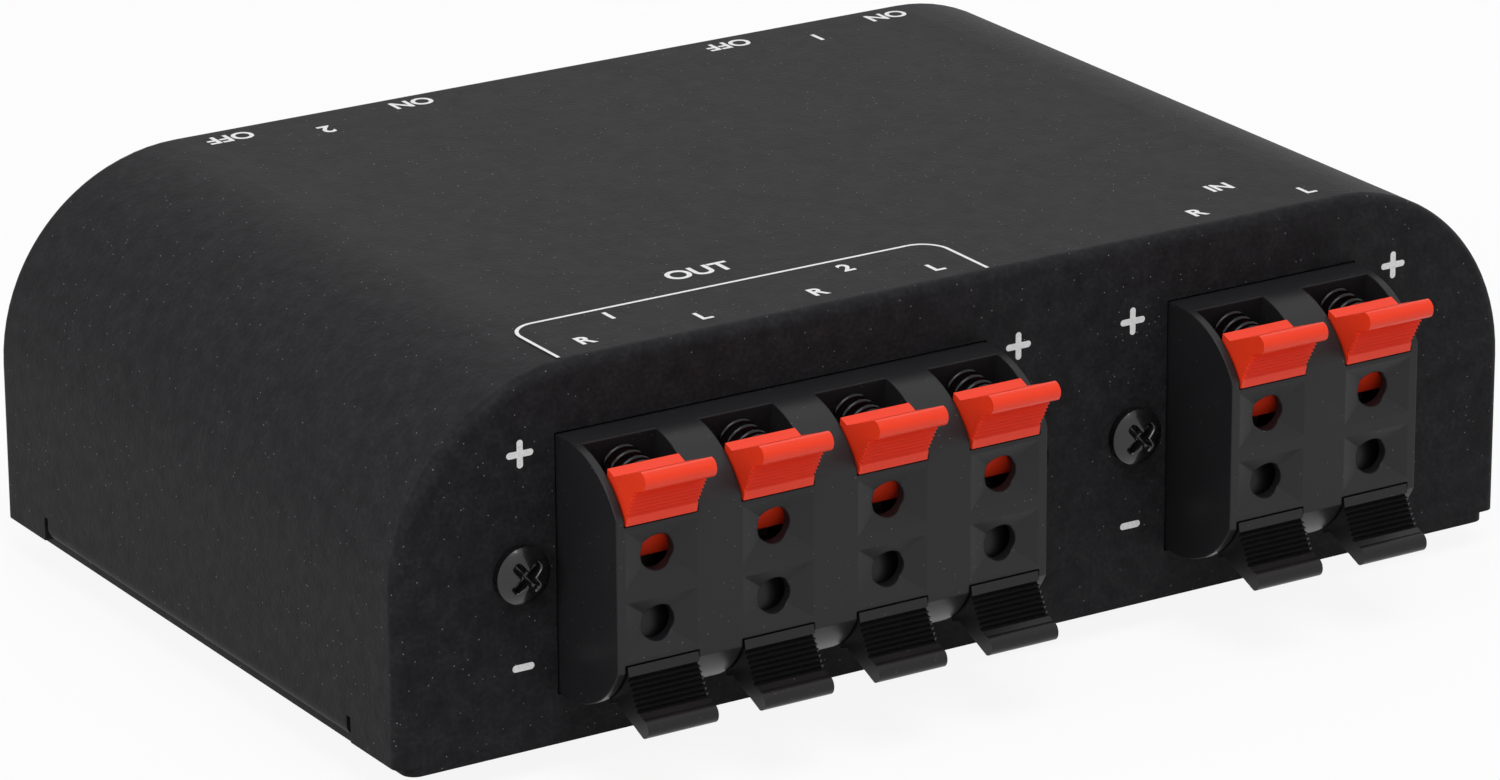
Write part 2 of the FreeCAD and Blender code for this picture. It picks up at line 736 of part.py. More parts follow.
def terminal_nuts(label, columns, centre):
    """Hexagon nuts behind the ears."""
    body = block_body(label, centre)
    face = new_sketch(body, label + "_face", "XZ_Plane", along="sheet_gauge + ear_gauge")
    middle = f"{block_half(columns)} + screw_offset"
    corner = "nut_flats / (2 * cos(30))"
    outline(
        face,
        [(f"{middle} + {corner} * cos({60 * k})", f"{corner} * sin({60 * k})") for k in range(6)],
    )
    circle(face, middle, "0", "screw_diameter / 2 + thread_gap")
    pad(body, face, "nut_height")
    mirror(body, "YZ_Plane")
    return body


# Levers and springs


def grip_corners():
    """Zigzag of the ribbed grip, from its lower end to its upper end."""
    corners = []
    for step in range(2 * RIBS + 1):
        along = f"grip_length * {step / (2 * RIBS)}"
        dip = f"rib_depth * {step % 2}"
        out = f"grip_out + {along} * cos(grip_slope) - {dip} * sin(grip_slope)"
        rise = f"grip_rise + {along} * sin(grip_slope) + {dip} * cos(grip_slope)"
        corners.append((out, rise))
    return corners


def lever(label, x, row):
    """Sprung lever, built about its pivot: arm, clamping leg, nose, ribbed grip and rolled lip."""
    body = new_body(label, x=x, y=f"{REAR} + pivot_out", z=f"{BLOCK_MIDDLE} {row} pivot_rise")
    if row == "-":
        turn(body, Vector(0, 1, 0), "180")
    side = new_sketch(body, label + "_side", "YZ_Plane")
    eye = "arm_gauge / 2"
    nose = "(wall_top + nose_gap)"
    leg_back = "leg_top_out - 1.4 * leg_gauge"
    foot_out = "lever_back_out - (lever_back_rise - lever_foot_rise) * tan(spring_tilt)"
    reaches = [
        (leg_back, f"pivot_rise - {eye}"),
        ("leg_tip_out - leg_gauge", "leg_tip_rise"),
        ("leg_tip_out", "leg_tip_rise"),
        ("leg_top_out", nose),
        ("nose_out", nose),
        *grip_corners(),
        ("roll_out", "roll_rise - roll_radius"),
        ("roll_out + roll_radius", "roll_rise", "roll_radius", 1),
        ("roll_out", "roll_rise + roll_radius", "roll_radius", 1),
        ("brow_out", "brow_rise"),
        ("valley_out", "valley_rise"),
        ("lever_back_out", "lever_back_rise"),
        (foot_out, "lever_foot_rise"),
        (f"{foot_out} - ({eye}) / 2", f"pivot_rise + {eye}"),
        ("pivot_out", f"pivot_rise + {eye}"),
        (f"pivot_out - {eye}", "pivot_rise", eye, 1),
        ("pivot_out", f"pivot_rise - {eye}", eye, 1),
    ]
    outline(
        side,
        [(f"{out} - pivot_out", f"{rise} - pivot_rise", *arc) for out, rise, *arc in reaches],
    )
    pad(body, side, "lever_width", symmetric=True)
    trunnion = new_sketch(body, label + "_trunnion", "YZ_Plane")
    circle(trunnion, "0", "0", "pivot_diameter / 2")
    pad(body, trunnion, "bay_width + 2 * pivot_bite", symmetric=True)
    return body


def helix_point(radius, pitch, foot, angle):
    """A point of a helix about Z that starts at height foot, and its direction there."""
    slope = pitch / (2 * math.pi)
    point = Vector(radius * math.cos(angle), radius * math.sin(angle), foot + slope * angle)
    run = Vector(-radius * math.sin(angle), radius * math.cos(angle), slope).normalize()
    return point, run


def middle_of_arc(start, run, end):
    """Middle of the arc that leaves start in the direction run and arrives at end."""
    chord = end - start
    along = (end - start).normalize()
    side = (run - along * run.dot(along)).normalize()
    half_angle = run.getAngle(chord) / 2
    return (start + end) / 2 + side * (chord.Length / 2 * math.tan(half_angle))


def biarc(start, run, end, end_run):
    """Two arcs that leave start along run, meet smoothly, and arrive at end along end_run."""
    gap = end - start
    both = run + end_run
    spread = 2 * (1 - run.dot(end_run))
    reach = (math.sqrt(gap.dot(both) ** 2 + spread * gap.dot(gap)) - gap.dot(both)) / spread
    joint = (start + end + (run - end_run) * reach) / 2
    first = Part.Arc(start, middle_of_arc(start, run, joint), joint).toShape()
    second = Part.Arc(joint, middle_of_arc(end, end_run * -1, joint), end).toShape()
    return [first, second]


def wire_section(middle, run, radius):
    """Even-sided polygon across a thin wire, with its corners on the wire's round section."""
    across = run.cross(Vector(0, 0, 1)).normalize()
    up = across.cross(run)
    corners = []
    for side in range(SPRING_SIDES):
        angle = 2 * math.pi * side / SPRING_SIDES
        corners.append(middle + across * (radius * math.cos(angle)) + up * (radius * math.sin(angle)))
    return Part.makePolygon(corners + corners[:1])


def spring_tube(length):
    """Wire wound about +Z: a biarc for each half turn, and a short straight tail at each end."""
    wire, radius = value("spring_wire"), value("spring_radius")
    margin = wire / 2 + value("spring_end_gap")
    pitch = (length - 2 * margin) / SPRING_TURNS
    halves = [math.pi * k for k in range(2 * SPRING_TURNS + 1)]
    knots = [helix_point(radius, pitch, margin, angle) for angle in halves]
    edges = []
    for (start, run), (end, end_run) in zip(knots, knots[1:]):
        edges += biarc(start, run, end, end_run)
    (first, first_run), (last, last_run) = knots[0], knots[-1]
    edges.insert(0, Part.makeLine(first - first_run * wire, first))
    edges.append(Part.makeLine(last, last + last_run * wire))
    path = Part.Wire(edges)
    section = wire_section(first - first_run * wire, first_run, wire / 2)
    return path.makePipeShell([section], True, False), coil_gap(path, wire)


def coil_gap(path, wire):
    """Least gap between two stretches of the wire that are over half a turn apart, on points."""
    points = path.discretize(Number=60 * SPRING_TURNS)
    apart = 30
    nearest = min(
        points[i].distanceToPoint(points[j])
        for i in range(len(points))
        for j in range(i + apart, len(points))
    )
    return nearest - wire


def spring(label, x, row, tube):
    """Spring from its slanted seat to the back of the lever."""
    part = doc.addObject("Part::Feature", label)
    part.Label = label
    part.Shape = tube.copy()
    side = 1 if row == "+" else -1
    lean = -(90 + side * value("spring_tilt"))
    base = Vector(value(x), value(f"{REAR} + {SEAT_OUT}"), value(f"{BLOCK_MIDDLE} {row} {SEAT_RISE}"))
    part.Placement = Placement(base, Rotation(Vector(1, 0, 0), lean))
    return part


def columns_of(name, columns, centre):
    """Name and X of each column of a block, from the side of +X."""
    for number in range(1, columns + 1):
        yield f"{name}_{number}", f"{centre} + {(columns + 1) / 2 - number} * column_pitch"


def terminals():
    """Every lever and its spring: the upper row is positive, the lower row negative."""
    tube, gap = spring_tube(value("spring_length"))
    print(f"spring: least gap between turns {gap:.3f} mm, volume {tube.Volume:.3f} mm3")
    made = []
    for name, columns, centre in (
        ("output", OUTPUT_COLUMNS, OUTPUT_CENTRE),
        ("input", INPUT_COLUMNS, INPUT_CENTRE),
    ):
        for column, x in columns_of(name, columns, centre):
            for row, pole in (("+", "positive"), ("-", "negative")):
                made.append(lever(f"{column}_{pole}_lever", x, row))
                made.append(spring(f"{column}_{pole}_spring", x, row, tube))
    return made


# Rocker switches: each is built about the middle of its own cut-out, with its own +Y outwards


def switch_body(label, x, depth="0", tilt="0"):
    body = new_body(label, x=x, y=f"{FRONT} + {depth}", z=SWITCH_MIDDLE)
    turn(body, Vector(0, 0, 1), f"180 + {tilt}")
    return body


def blade_places():
    """The middle tag and the outer tag of a switch, along its own X."""
    return ("0", "-blade_offset")


def switch_housing(label, x):
    """Moulded body with its bezel, snap wings, rocker cavity, pivot holes and tag slots."""
    body = switch_body(label, x)
    bezel = new_sketch(body, label + "_bezel", "XZ_Plane", along="-bezel_out")
    centred_rectangle(bezel, "bezel_width", "bezel_height")
    pad(body, bezel, "bezel_out")
    front = value("bezel_out")
    fillet(body, "bezel_round", lambda edge: lies_at(edge, y=front))
    barrel = new_sketch(body, label + "_barrel", "XZ_Plane")
    centred_rectangle(barrel, "barrel_width", "barrel_height")
    pad(body, barrel, "barrel_depth")
    wing = new_sketch(body, label + "_wing", "XY_Plane")
    edge = "barrel_width / 2"
    shoulder = "-(sheet_gauge + cutout_gap)"
    outline(
        wing,
        [
            (f"{edge} - snap_reach", shoulder),
            (f"{edge} + snap_reach", shoulder),
            (edge, f"{shoulder} - snap_length"),
            (f"{edge} - snap_reach", f"{shoulder} - snap_length"),
        ],
    )
    wings = pad(body, wing, "snap_width", symmetric=True)
    mirror(body, "YZ_Plane", [wings])
    cavity = new_sketch(body, label + "_cavity", "XZ_Plane", along="-bezel_out")
    centred_rectangle(cavity, f"2 * {ROCKER_CAVITY}", "rocker_height + 2 * rocker_gap")
    depth = "bezel_out + barrel_depth - barrel_floor"
    pocket(body, cavity, depth, reverse=True)
    bearing = new_sketch(body, label + "_bearing", "XY_Plane")
    circle(bearing, "0", "-rocker_depth", "rocker_pin / 2 + pivot_gap")
    reach = "rocker_height + 2 * (rocker_gap + rocker_pin_bite + pivot_end_gap)"
    pocket(body, bearing, reach, symmetric=True)
    slots = new_sketch(body, label + "_slots", "XZ_Plane", along="barrel_depth")
    for across in blade_places():
        for side in "+-":
            centred_rectangle(slots, "blade_gauge", "blade_width", across, f"{side}pole_spacing / 2")
    pocket(body, slots, "3 * barrel_floor", symmetric=True)
    return body


def rocker(label, x):
    """Rocker about its pivot: two sloping faces, ends curved about the pivot, and pivot pins."""
    body = switch_body(label, x, "rocker_depth", "rocker_tilt")
    side = new_sketch(body, label + "_side", "XY_Plane")
    tip_x, tip_y = "rocker_radius * cos(rocker_tip)", "rocker_radius * sin(rocker_tip)"
    low_x, low_y = "rocker_radius * cos(rocker_skirt)", "-rocker_radius * sin(rocker_skirt)"
    outline(
        side,
        [
            ("-rocker_sole_width / 2", "-rocker_sole"),
            ("rocker_sole_width / 2", "-rocker_sole"),
            (low_x, low_y),
            (tip_x, tip_y, "rocker_radius", 1),
            ("0", "rocker_valley"),
            (f"-{tip_x}", tip_y),
            (f"-{low_x}", low_y, "rocker_radius", 1),
        ],
    )
    pad(body, side, "rocker_height", symmetric=True)
    pins = new_sketch(body, label + "_pins", "XY_Plane")
    circle(pins, "0", "0", "rocker_pin / 2")
    pad(body, pins, "rocker_height + 2 * (rocker_gap + rocker_pin_bite)", symmetric=True)
    return body


def plungers(label, x):
    """Two round-ended plungers that stand out of the rocker's underside."""
    body = switch_body(label, x, "rocker_depth", "rocker_tilt")
    radius = "plunger_diameter / 2"
    for pole, side in (("upper", "+"), ("lower", "-")):
        name = f"{label}_{pole}"
        profile = new_sketch(body, name, "XY_Plane", along=f"{side}pole_spacing / 2")
        outline(
            profile,
            [
                ("0", "-plunger_reach"),
                (radius, f"{radius} - plunger_reach", radius, 1),
                (radius, "-rocker_sole"),
                ("0", "-rocker_sole"),
            ],
        )
        revolve(body, profile)
    return body


def contact_bars(label, x):
    """Two see-saw contact bars, each rocking on its middle tag."""
    body = switch_body(label, x, "bar_depth", "-bar_tilt")
    for pole, side in (("upper", "+"), ("lower", "-")):
        bar = new_sketch(body, f"{label}_{pole}", "XY_Plane", along=f"{side}pole_spacing / 2")
        centred_rectangle(bar, "bar_length", "bar_gauge")
        pad(body, bar, "bar_width", symmetric=True)
        boss = new_sketch(body, f"{label}_{pole}_boss", "XY_Plane", along=f"{side}pole_spacing / 2")
        circle(boss, "0", "0", "bar_roll / 2")
        pad(body, boss, "bar_width", symmetric=True)
    return body


def switch_blades(label, x):
    """Four tags through the floor: the middle two carry the bars, the outer two close with them."""
    body = switch_body(label, x)
    back = "-(barrel_depth + blade_length)"
    under_boss = "-(bar_depth + bar_roll / 2 + fulcrum_gap)"
    fall = "(blade_offset + blade_gauge / 2) * tan(bar_tilt)"
    under_end = f"-(bar_depth + bar_gauge / (2 * cos(bar_tilt)) + {fall} + fulcrum_gap)"
    for pole, side in (("upper", "+"), ("lower", "-")):
        profile = new_sketch(body, f"{label}_{pole}", "XY_Plane", along=f"{side}pole_spacing / 2")
        for across, top in zip(blade_places(), (under_boss, under_end)):
            left, right = f"{across} - blade_gauge / 2", f"{across} + blade_gauge / 2"
            rectangle(profile, left, right, back, top)
        pad(body, profile, "blade_width", symmetric=True)
    return body


def switches():
    made = []
    for number, side in ((1, "-"), (2, "")):
        x = f"{side}switch_spacing / 2"
        name = f"switch_{number}"
        made += [
            switch_housing(name + "_housing", x),
            rocker(name + "_rocker", x),
            plungers(name + "_plungers", x),
            contact_bars(name + "_contact_bars", x),
            switch_blades(name + "_tags", x),
        ]
    return made


# Wiring inside the case


def bent_wire(points, radius, bend):
    """Round wire along straight runs joined by arcs, through a list of points."""
    edges = []
    at = points[0]
    for before, corner, after in zip(points, points[1:], points[2:]):
        first = (corner - before).normalize()
        second = (after - corner).normalize()
        turn_angle = first.getAngle(second)
        room = 0.45 * min((corner - before).Length, (after - corner).Length)
        trim = min(bend * math.tan(turn_angle / 2), room)
        start, end = corner - first * trim, corner + second * trim
        side = (second - first).normalize()
        middle = corner + side * (trim * math.tan(turn_angle / 4))
        edges += [Part.makeLine(at, start), Part.Arc(start, middle, end).toShape()]
        at = end
    edges.append(Part.makeLine(at, points[-1]))
    run = (points[1] - points[0]).normalize()
    section = Part.Wire(Part.makeCircle(radius, points[0], run))
    tube = Part.Wire(edges).makePipeShell([section], True, False)
    return tube if tube.Volume > 0 else tube.reversed()


def place(x, y, z):
    return Vector(value(x), value(y), value(z))


def wire_route(start, end, layer):
    """From a terminal's tag to a switch's tag: square off both, over one point in its own layer."""
    stub = value("wire_stub")
    middle = (start + end) / 2
    middle.z = value(f"{BLOCK_MIDDLE} + {layer} * wire_layer")
    return [start, start - Vector(0, stub, 0), middle, end + Vector(0, stub, 0), end]


def positive_wires():
    """Input tags to both switches' middle tags, and each switch's outer tags to an output pair."""
    tag_y = f"{REAR} - (block_back + board_gauge + tag_length)"
    tag_z = f"{BLOCK_MIDDLE} + (web_gauge + contact_gauge) / 2"
    blade_y = f"{FRONT} + barrel_depth + blade_length"

    def terminal(centre, columns, number):
        across = [x for name, x in columns_of("", columns, centre)]
        return place(across[number - 1], tag_y, tag_z)

    def blade(side, outer, pole):
        x = f"{side}switch_spacing / 2 + blade_offset * {outer}"
        return place(x, blade_y, f"{SWITCH_MIDDLE} {pole} pole_spacing / 2")

    runs = [
        (terminal(OUTPUT_CENTRE, OUTPUT_COLUMNS, 1), blade("-", 1, "+"), 5),
        (terminal(OUTPUT_CENTRE, OUTPUT_COLUMNS, 2), blade("-", 1, "-"), 4),
        (terminal(OUTPUT_CENTRE, OUTPUT_COLUMNS, 3), blade("", 1, "+"), 2),
        (terminal(OUTPUT_CENTRE, OUTPUT_COLUMNS, 4), blade("", 1, "-"), 1),
        (terminal(INPUT_CENTRE, INPUT_COLUMNS, 1), blade("-", 0, "+"), 2),
        (terminal(INPUT_CENTRE, INPUT_COLUMNS, 2), blade("-", 0, "-"), 0.5),
    ]
    radius, bend = value("wire_diameter / 2"), value("wire_bend")
    tubes = [bent_wire(wire_route(a, b, layer), radius, bend) for a, b, layer in runs]
    part = doc.addObject("Part::Feature", "positive_wires")
    part.Label = "positive_wires"
    part.Shape = Part.makeCompound(tubes)
    return part


def negative_bus_wire():
    """One bare wire across all the negative tags."""
    part = doc.addObject("Part::Cylinder", "negative_bus_wire")
    part.Label = "negative_bus_wire"
    first = f"{OUTPUT_CENTRE} + {(OUTPUT_COLUMNS - 1) / 2} * column_pitch + bus_overhang"
    last = f"{INPUT_CENTRE} - {(INPUT_COLUMNS - 1) / 2} * column_pitch - bus_overhang"
    bind(part, "Radius", "bus_diameter / 2")
    bind(part, "Height", f"{first} - ({last})")
    part.Placement.Rotation = Rotation(Vector(0, 1, 0), 90)
    tag_tip = "block_back + board_gauge + tag_length"
    bind(part, "Placement.Base.x", last)
    bind(part, "Placement.Base.y", f"{REAR} - ({tag_tip}) - bus_diameter / 2")
    bind(part, "Placement.Base.z", f"{BLOCK_MIDDLE} - (web_gauge + contact_gauge) / 2")
    return part


# Whole object


def build():
    made = [case_cover(), base_plate(), rubber_feet(), base_screws()]
    for name, columns, centre in (
        ("output", OUTPUT_COLUMNS, OUTPUT_CENTRE),
        ("input", INPUT_COLUMNS, INPUT_CENTRE),
    ):
        made += [
            terminal_housing(f"{name}_terminal_housing", columns, centre),
            back_board(f"{name}_back_board", columns, centre),
            contact_strips(f"{name}_contacts", columns, centre),
            terminal_screws(f"{name}_terminal_screws", columns, centre),
            terminal_nuts(f"{name}_terminal_nuts", columns, centre),
        ]
    made += terminals()
    made += switches()
    made += [positive_wires(), negative_bus_wire()]
    doc.recompute()
    return made


def check(made):
    """Stop if any object failed or any sub-part is empty or broken."""
    failed = [thing.Label for thing in doc.Objects if {"Invalid", "Error"} & set(thing.State)]
    for part in made:
        if part.Shape.isNull() or not part.Shape.isValid() or not part.Shape.Solids:
            failed.append(part.Label)
    if failed:
        raise RuntimeError("no valid shape: " + ", ".join(failed))


def write(made):
    os.makedirs("parts", exist_ok=True)
    for part in made:
        part.Shape.exportStep(os.path.join("parts", part.Label + ".step"))
        solids = len(part.Shape.Solids)
        print(f"{part.Label}: {solids} solid(s), {part.Shape.Volume:.1f} mm3")


parts = build()
check(parts)
write(parts)
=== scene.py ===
import math

import bpy
import numpy as np
from mathutils import Matrix, Vector


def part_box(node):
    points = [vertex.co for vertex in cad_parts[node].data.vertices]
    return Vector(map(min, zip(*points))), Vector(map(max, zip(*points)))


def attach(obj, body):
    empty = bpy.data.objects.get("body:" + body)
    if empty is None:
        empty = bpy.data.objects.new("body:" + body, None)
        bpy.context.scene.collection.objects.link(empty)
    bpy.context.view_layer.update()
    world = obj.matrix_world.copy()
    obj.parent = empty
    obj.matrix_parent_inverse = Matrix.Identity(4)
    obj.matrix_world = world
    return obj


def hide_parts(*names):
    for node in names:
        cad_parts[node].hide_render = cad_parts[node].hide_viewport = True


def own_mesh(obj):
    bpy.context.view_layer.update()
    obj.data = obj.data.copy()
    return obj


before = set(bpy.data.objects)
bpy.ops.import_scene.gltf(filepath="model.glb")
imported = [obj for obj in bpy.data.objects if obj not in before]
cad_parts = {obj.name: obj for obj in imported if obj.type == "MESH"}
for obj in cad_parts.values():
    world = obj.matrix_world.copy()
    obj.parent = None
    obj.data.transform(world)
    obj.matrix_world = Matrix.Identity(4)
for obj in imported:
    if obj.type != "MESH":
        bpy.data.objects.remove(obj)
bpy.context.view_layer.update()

MM = 0.001


# Shared helpers for materials


def colour(code):
    """Linear RGBA of an sRGB hex code."""
    srgb = np.array([int(code[i:i + 2], 16) for i in (1, 3, 5)]) / 255
    linear = np.where(srgb <= 0.04045, srgb / 12.92, ((srgb + 0.055) / 1.055) ** 2.4)
    return (*linear.tolist(), 1.0)


def new_material(name):
    material = bpy.data.materials.new(name)
    material.use_nodes = True
    material.node_tree.nodes.clear()
    return material


def add(material, kind, inputs=None, **settings):
    """Add a shader node: settings are its properties, inputs its values or the sockets that feed it."""
    node = material.node_tree.nodes.new("ShaderNode" + kind)
    for name, setting in settings.items():
        setattr(node, name, setting)
    for name, feed in (inputs or {}).items():
        if isinstance(feed, bpy.types.NodeSocket):
            material.node_tree.links.new(feed, node.inputs[name])
        else:
            node.inputs[name].default_value = feed
    return node


def finish_surface(material, **inputs):
    """Close a material with one Principled shader. Underscores in a name stand for its spaces."""
    named = {name.replace("_", " "): feed for name, feed in inputs.items()}
    shader = add(material, "BsdfPrincipled", named)
    add(material, "OutputMaterial", {"Surface": shader.outputs[0]})
    return material


def speckle(material, where, spacing, size):
    """1 inside dots of about the given size, one to a cell of the given spacing, 0 elsewhere."""
    cells = add(material, "TexVoronoi", {"Vector": where, "Scale": 1 / spacing})
    edge = size / spacing / 2
    limits = {"From Min": edge, "From Max": edge * 0.5}
    return add(material, "MapRange", {"Value": cells.outputs["Distance"], **limits}).outputs[0]


# Folded cover and base plate
# Mild steel sheet, cut, folded and powder coated charcoal black. The powder cures with a fine
# pebbled skin, and a few pale flecks in it catch the light.


def powder_coat(name, base, worn, fleck_share):
    """Powder coat: pebbles of 0.5 mm, mottling of 2 mm, and pale flecks of 0.14 mm in cells of 1 mm."""
    paint = new_material(name)
    where = add(paint, "TexCoord").outputs["Object"]
    pebbles = add(paint, "TexNoise", {"Vector": where, "Scale": 1 / (0.5 * MM), "Detail": 3.0})
    clouds = add(paint, "TexNoise", {"Vector": where, "Scale": 1 / (2 * MM), "Detail": 2.0})
    uneven = {0: clouds.outputs["Fac"], 1: pebbles.outputs["Fac"]}
    mottle = add(paint, "Math", uneven, operation="MULTIPLY")
    spread = {"Value": mottle.outputs[0], "From Min": 0.05, "From Max": 0.5}
    lightness = add(paint, "MapRange", spread).outputs[0]
    tone = add(
        paint,
        "Mix",
        {0: lightness, 6: colour(base), 7: colour(worn)},
        data_type="RGBA",
    )
    dots = speckle(paint, where, 1.0 * MM, 0.14 * MM)
    share = add(paint, "Math", {0: dots, 1: fleck_share}, operation="MULTIPLY")
    flecked = add(
        paint,
        "Mix",
        {0: share.outputs[0], 6: tone.outputs[2], 7: colour("#b9bcc4")},
        data_type="RGBA",
    )
    rough = add(paint, "MapRange", {"Value": pebbles.outputs["Fac"], "To Min": 0.45, "To Max": 0.65})
    skin = add(
        paint,
        "Bump",
        {"Height": pebbles.outputs["Fac"], "Strength": 0.8, "Distance": 0.06 * MM},
    )
    return finish_surface(
        paint,
        Base_Color=flecked.outputs[2],
        Roughness=rough.outputs[0],
        Specular_IOR_Level=0.06,
        Normal=skin.outputs[0],
    )


def dress(node, material):
    """Give a solid of the frame its finish."""
    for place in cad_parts[node].material_slots:
        place.material = material


cover_paint = powder_coat("charcoal_powder_coat", "#161618", "#2a2a2c", 0.6)
dress("case_cover", cover_paint)
dress("base_plate", cover_paint)
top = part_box("case_cover")[1][2]
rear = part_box("case_cover")[1][1]
case_middle = (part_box("case_cover")[0][1] + rear) / 2 / MM


# Feet
# Four moulded rubber bumpers, stuck on. The rubber is dull, with a faint bloom.


def rubber():
    """Rubber: dull black with a pale bloom in patches of 3 mm."""
    skin = new_material("moulded_rubber")
    where = add(skin, "TexCoord").outputs["Object"]
    bloom = add(skin, "TexNoise", {"Vector": where, "Scale": 1 / (3 * MM), "Detail": 5.0})
    tone = add(
        skin,
        "Mix",
        {0: bloom.outputs["Fac"], 6: colour("#0e0e0f"), 7: colour("#1c1c1c")},
        data_type="RGBA",
    )
    grain = add(skin, "TexNoise", {"Vector": where, "Scale": 1 / (0.2 * MM)})
    bump = add(skin, "Bump", {"Height": grain.outputs["Fac"], "Strength": 0.3, "Distance": 0.03 * MM})
    return finish_surface(skin, Base_Color=tone.outputs[2], Roughness=0.8, Normal=bump.outputs[0])


dress("rubber_feet", rubber())


# Printed legends
# White screen-printing ink, flat and without thickness, just above the coat. Words on the far edge
# read from the switches' side, the rest from the terminals' side. Places along Y are measured
# from the case's middle.

INK_LIFT = 0.02 * MM
INK_SPREAD = 0.09 * MM
CAPITAL_SHARE = 0.72  # height of a capital as a share of the font's size
SIGN_POINTS = 48
SECOND_BAR_LIFT = 0.002 * MM


def ink():
    """Silk-screen ink: off-white, thinner in places so that the coat greys it."""
    print_white = new_material("screen_printed_ink")
    where = add(print_white, "TexCoord").outputs["Object"]
    thin = add(print_white, "TexNoise", {"Vector": where, "Scale": 1 / (0.35 * MM), "Detail": 3.0})
    tone = add(
        print_white,
        "Mix",
        {0: thin.outputs["Fac"], 6: colour("#c9c9c9"), 7: colour("#ffffff")},
        data_type="RGBA",
    )
    return finish_surface(print_white, Base_Color=tone.outputs[2], Roughness=0.6)


white_ink = ink()


def new_piece(name, points, faces, material, body="body"):
    """A mesh piece that rides on a body."""
    mesh = bpy.data.meshes.new(name)
    mesh.from_pydata(np.asarray(points).reshape(-1, 3).tolist(), [], faces)
    mesh.materials.append(material)
    piece = bpy.data.objects.new(name, mesh)
    bpy.context.scene.collection.objects.link(piece)
    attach(piece, body)
    return piece


def grid_faces(rows, columns, wrap=False):
    """Quads of a grid of rows by columns of points; wrap joins the last column to the first."""
    row, column = np.meshgrid(np.arange(rows - 1), np.arange(columns - (not wrap)), indexing="ij")
    after = (column + 1) % columns
    quads = [row * columns + column, row * columns + after]
    quads += [(row + 1) * columns + after, (row + 1) * columns + column]
    return np.stack(quads, -1).reshape(-1, 4).tolist()


def printed_word(name, text, x, y, height, turned):
    """A word on the top, centred on x and on y from the case's middle, all in mm."""
    curve = bpy.data.curves.new(name, "FONT")
    curve.body = text
    curve.size = height * MM / CAPITAL_SHARE
    curve.align_x = "CENTER"
    curve.align_y = "CENTER"
    curve.offset = INK_SPREAD
    lettering = bpy.data.objects.new(name + "_outline", curve)
    mesh = bpy.data.meshes.new_from_object(lettering)
    bpy.data.objects.remove(lettering)
    place = Matrix.Translation((x * MM, (case_middle + y) * MM, top + INK_LIFT))
    mesh.transform(place @ Matrix.Rotation(math.pi * turned, 4, "Z"))
    mesh.materials.clear()
    mesh.materials.append(white_ink)
    word = bpy.data.objects.new(name, mesh)
    bpy.context.scene.collection.objects.link(word)
    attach(word, "body")


for name, text, x, y, height in (
    ("legend_2_off", "OFF", 41.2, -39.2, 2.3),
    ("legend_2", "2", 31.0, -36.2, 2.3),
    ("legend_2_on", "ON", 18.6, -39.5, 2.3),
    ("legend_1_off", "OFF", -21.9, -39.3, 2.3),
    ("legend_1", "1", -31.9, -36.3, 2.3),
    ("legend_1_on", "ON", -43.0, -39.2, 2.3),
):
    printed_word(name, text, x, y, height, turned=False)

for name, text, x, y, height in (
    ("legend_outputs", "OUT", 22.6, 26.6, 2.6),
    ("legend_pair_1", "1", 37.4, 33.6, 2.1),
    ("legend_pair_2", "2", 9.6, 33.9, 2.1),
    ("legend_right_1", "R", 43.3, 38.7, 2.1),
    ("legend_left_1", "L", 29.6, 38.7, 2.1),
    ("legend_right_2", "R", 16.1, 38.7, 2.1),
    ("legend_left_2", "L", 1.9, 38.7, 2.1),
    ("legend_inputs", "IN", -37.6, 33.0, 2.1),
    ("legend_right_in", "R", -30.6, 38.7, 2.1),
    ("legend_left_in", "L", -44.7, 38.7, 2.1),
):
    printed_word(name, text, x, y, height, turned=True)


def bracket(left, right, far, near, corner, width):
    """A printed line round three sides of a rectangle: its centre line with quarter-turn corners,
    moved to both sides along its normal by half the width."""
    bend = np.linspace(0, math.pi / 2, 12)
    across = [right + corner - corner * np.cos(bend), left - corner + corner * np.sin(bend)]
    along = [far + corner - corner * np.sin(bend), far + corner - corner * np.cos(bend)]
    x = np.concatenate([[right], across[0], across[1], [left]])
    y = np.concatenate([[near], along[0], along[1], [near]])
    heading = np.arctan2(np.gradient(y), np.gradient(x))
    normal = np.stack([-np.sin(heading), np.cos(heading)], -1) * width / 2
    middle = np.stack([x, case_middle + y], -1)
    rows = np.stack([middle + normal, middle - normal])
    return np.concatenate([rows * MM, np.full((2, len(x), 1), top + INK_LIFT)], -1)


band = bracket(left=48, right=-2.5, far=31.3, near=41.6, corner=3, width=0.4)
line = new_piece("legend_bracket", band, grid_faces(2, band.shape[1]), white_ink)


def stadium(x, z, width, height):
    """Outline of a bar with round ends, on the rear panel: half circles joined by straight sides."""
    turn = np.linspace(0, 2 * math.pi, SIGN_POINTS, endpoint=False)
    radius = min(width, height) / 2
    reach_x, reach_z = width / 2 - radius, height / 2 - radius
    across = x + np.sign(np.cos(turn)) * reach_x + radius * np.cos(turn)
    up = z + np.sign(np.sin(turn)) * reach_z + radius * np.sin(turn)
    return np.stack([across * MM, np.full(SIGN_POINTS, rear + INK_LIFT), up * MM], -1)


def printed_sign(name, x, z, bars):
    """A plus or a minus: one or two round-ended bars."""
    outlines = [stadium(x, z, width, height)[::-1] for width, height in bars]
    outlines = [outline + (0, SECOND_BAR_LIFT * k, 0) for k, outline in enumerate(outlines)]
    faces = [list(range(SIGN_POINTS * k, SIGN_POINTS * (k + 1))) for k in range(len(bars))]
    new_piece(name, np.stack(outlines), faces, white_ink)


